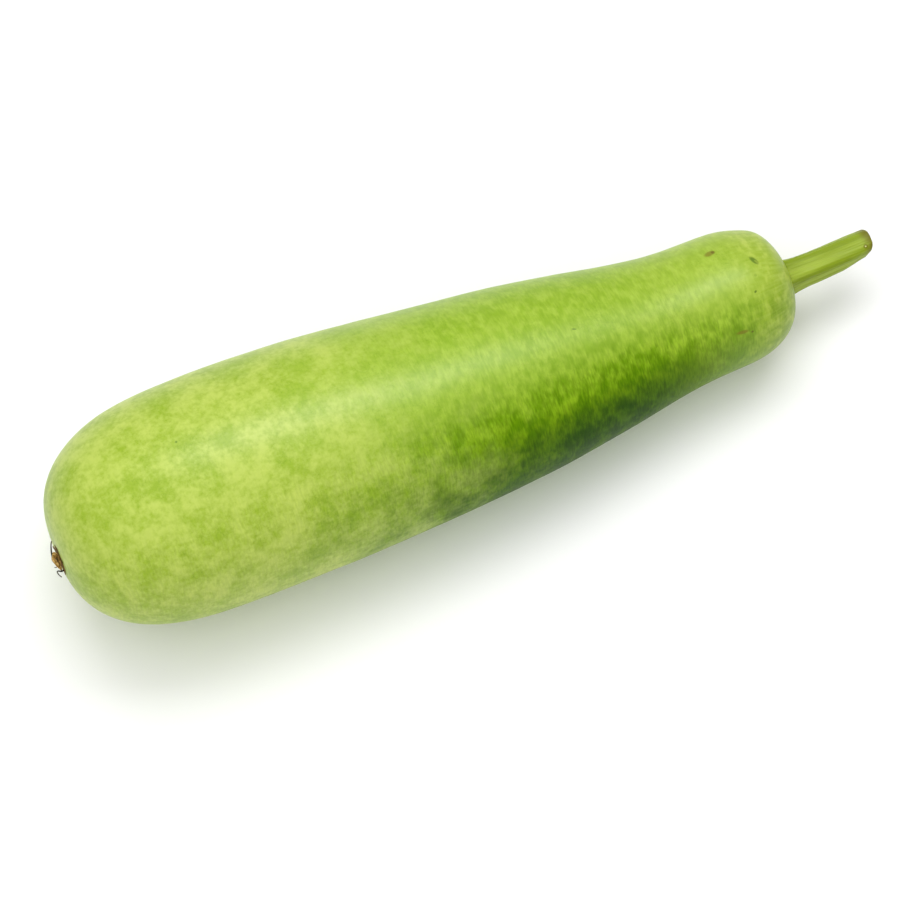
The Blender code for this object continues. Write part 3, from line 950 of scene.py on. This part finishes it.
class GOURD_OT_stage(Operator):
    """Set the table, the light and the camera"""

    bl_idname = "gourd.stage"
    bl_label = "Stage"

    def execute(self, context):
        settings = context.scene.gourd_stage
        context.scene.view_settings.view_transform = "Standard"
        self.table(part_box("fruit")[0].z)
        back = self.way(settings.azimuth, settings.elevation)
        right = Vector((math.cos(settings.azimuth), math.sin(settings.azimuth), 0))
        up = back.cross(right)
        camera = bpy.data.objects.new("camera", bpy.data.cameras.new("camera"))
        context.collection.objects.link(camera)
        camera.location = AIM + back * settings.distance
        camera.rotation_euler = Matrix((right, up, back)).transposed().to_euler()
        camera.data.lens = settings.lens
        camera.data.clip_start = 0.01
        context.scene.camera = camera

        key_way = (back * math.cos(KEY_LIFT) + up * math.sin(KEY_LIFT)).normalized()
        key = self.soft_light("key_light", AIM, key_way, right, KEY_DISTANCE, KEY_SIZE, settings.key_power)
        key.visible_glossy = False
        strip = self.soft_light("strip_light", AIM + right * STRIP_SHIFT, key_way, right, KEY_DISTANCE,
                                STRIP_SIZE, settings.strip_power)
        strip.visible_diffuse = False
        level = Vector((back.x, back.y, 0)).normalized()
        fill_way = (level * FILL_FORWARD - right * FILL_LEFT + Vector((0, 0, 1))).normalized()
        fill = self.soft_light("fill_light", AIM, fill_way, right, FILL_DISTANCE, FILL_SIZE,
                               settings.fill_power)
        fill.visible_glossy = False
        room = bpy.data.worlds.new("pale_room")
        room.use_nodes = True
        room.node_tree.nodes["Background"].inputs["Color"].default_value = (1, 1, 1, 1)
        room.node_tree.nodes["Background"].inputs["Strength"].default_value = settings.sky
        context.scene.world = room
        return {"FINISHED"}

    def way(self, azimuth, elevation):
        return Vector((math.sin(azimuth) * math.cos(elevation), -math.cos(azimuth) * math.cos(elevation),
                       math.sin(elevation)))

    def soft_light(self, name, target, way, right, distance, sizes, power):
        """A large soft box that faces the gourd, with its long side along it."""
        lamp = bpy.data.lights.new(name, "AREA")
        lamp.shape = "RECTANGLE"
        lamp.size, lamp.size_y = sizes
        lamp.energy = power
        made = bpy.data.objects.new(name, lamp)
        bpy.context.collection.objects.link(made)
        made.location = target + way * distance
        made.rotation_euler = Matrix((right, way.cross(right), way)).transposed().to_euler()
        return made

    def table(self, height):
        bpy.ops.object.select_all(action="DESELECT")
        bpy.ops.mesh.primitive_plane_add(size=TABLE_SIZE, location=(0, 0, height))
        table = added("table")
        bpy.ops.object.transform_apply(location=True)
        made, tree, shader = new_material("table_matt_white")
        feed(tree, shader, {"Base Color": TABLE_WHITE, "Roughness": 0.9, "Specular IOR Level": 0.1})
        table.data.materials.append(made)


class GOURD_PT_pieces(Panel):
    """Lists the pieces and their settings"""

    bl_label = "Bottle Gourd"
    bl_idname = "GOURD_PT_pieces"
    bl_space_type = "VIEW_3D"
    bl_region_type = "UI"
    bl_category = "Gourd"

    def draw(self, context):
        for operator, group in PIECES:
            box = self.layout.box()
            box.operator(operator.bl_idname)
            settings = getattr(context.scene, group)
            for name in settings.bl_rna.properties.keys():
                if name not in ("name", "rna_type"):
                    box.prop(settings, name)


PIECES = (
    (GOURD_OT_skin, "gourd_skin"),
    (GOURD_OT_stalk, "gourd_stalk"),
    (GOURD_OT_flower, "gourd_flower"),
    (GOURD_OT_stage, "gourd_stage"),
)
GROUPS = {
    "gourd_skin": GourdSkinSettings,
    "gourd_stalk": GourdStalkSettings,
    "gourd_flower": GourdFlowerSettings,
    "gourd_stage": GourdStageSettings,
}
CLASSES = (*GROUPS.values(), *(operator for operator, _ in PIECES), GOURD_PT_pieces)


def register():
    for each in CLASSES:
        bpy.utils.register_class(each)
    for name, group in GROUPS.items():
        setattr(bpy.types.Scene, name, PointerProperty(type=group))


def unregister():
    for name in GROUPS:
        delattr(bpy.types.Scene, name)
    for each in reversed(CLASSES):
        bpy.utils.unregister_class(each)


def main():
    register()
    bpy.ops.gourd.skin()
    bpy.ops.gourd.stalk()
    bpy.ops.gourd.flower()
    bpy.ops.gourd.stage()


if __name__ == "__main__":
    main()
